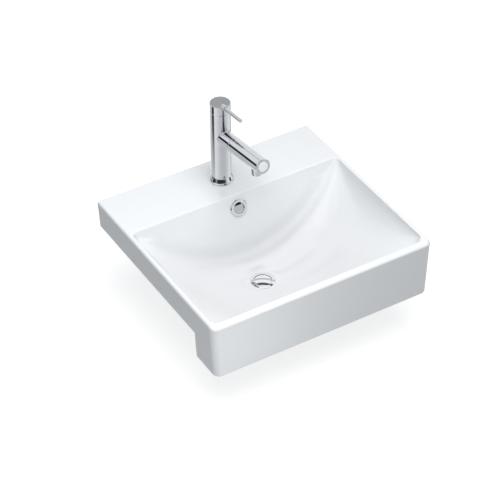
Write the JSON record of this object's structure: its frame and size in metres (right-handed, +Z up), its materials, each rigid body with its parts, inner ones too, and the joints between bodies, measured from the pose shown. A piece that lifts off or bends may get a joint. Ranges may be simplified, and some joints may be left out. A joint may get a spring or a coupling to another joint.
{
  "type": "countertop basin",
  "caption": "Semi-recessed ceramic washbasin with a sloping bowl, front apron, single-lever mixer tap with pull-out head, push waste and overflow.",
  "frame": {"origin": "on the counter's top, on the centre line, in the middle of the rear seating ledge", "axes": "+X to the right seen from the user, +Y to the back, +Z up"},
  "size_m": [0.56, 0.515, 0.4864],
  "materials": {
    "glaze": "gloss",
    "chrome": "polished",
    "brass": "machined",
    "steel": "satin",
    "rubber": "matt",
    "plastic": "matt",
    "button": "satin",
    "grid": "matt",
    "disc": "lapped"
  },
  "bodies": {
    "basin": {"basin_body": "glaze", "overflow_ring": "chrome", "overflow_plate": "chrome", "overflow_seal": "rubber", "waste_body": "chrome", "waste_top_gasket": "rubber", "waste_bottom_gasket": "rubber", "waste_washer": "plastic", "waste_nut": "brass", "click_cartridge": "plastic", "click_spring": "steel", "tap_base_ring": "chrome", "tap_base_gasket": "rubber", "tap_body": "chrome", "tap_shank": "brass", "shank_gasket": "rubber", "shank_washer": "steel", "shank_nut": "brass", "cartridge_body": "plastic", "fixed_disc": "disc", "cartridge_seals": "rubber", "cartridge_nut": "brass", "dock_sleeve": "plastic", "dock_ring": "chrome"},
    "plug": {"plug_cap": "chrome", "plug_seal": "rubber", "plug_stem": "brass"},
    "turn": {"cartridge_rotor": "plastic", "pivot_pin": "steel"},
    "disc": {"moving_disc": "disc"},
    "handle": {"lever_stem": "steel", "handle_cap": "chrome", "lever_rod": "chrome", "grub_screw": "steel"},
    "head": {"spout_head": "chrome", "head_core": "plastic", "head_seal": "rubber", "end_ring": "chrome", "button_spring": "steel", "aerator_housing": "chrome", "aerator_insert": "grid", "aerator_gasket": "rubber"},
    "button": {"end_button": "button", "selector_stem": "brass"}
  },
  "joints": [
    {"name": "plug_slide", "type": "slide", "parent": "basin", "child": "plug", "axis": [0, 0, 1], "range_m": [0, 0.009], "deforming": ["click_spring"]},
    {"name": "lever_turn", "type": "hinge", "parent": "basin", "child": "turn", "pos_m": [0, -0.063, 0.253], "axis": [0, 0, 1], "range_deg": [-45, 45]},
    {"name": "lever_lift", "type": "hinge", "parent": "turn", "child": "handle", "pos_m": [0, -0.063, 0.253], "axis": [-1, 0, 0], "range_deg": [0, 22]},
    {"name": "disc_slide", "type": "slide", "parent": "turn", "child": "disc", "axis": [0, -1, 0], "range_m": [0, 0.0045]},
    {"name": "head_slide", "type": "slide", "parent": "basin", "child": "head", "axis": [0, -0.9893, 0.1461], "range_m": [0, 0.02]},
    {"name": "button_press", "type": "slide", "parent": "head", "child": "button", "axis": [0, 0.9893, -0.1461], "range_m": [0, 0.002], "stiffness_N_per_m": 300, "springref_m": -0.004}
  ],
  "couplings": [
    {"joint": "disc_slide", "follows": "lever_lift", "m_per_rad": 0.01155}
  ]
}
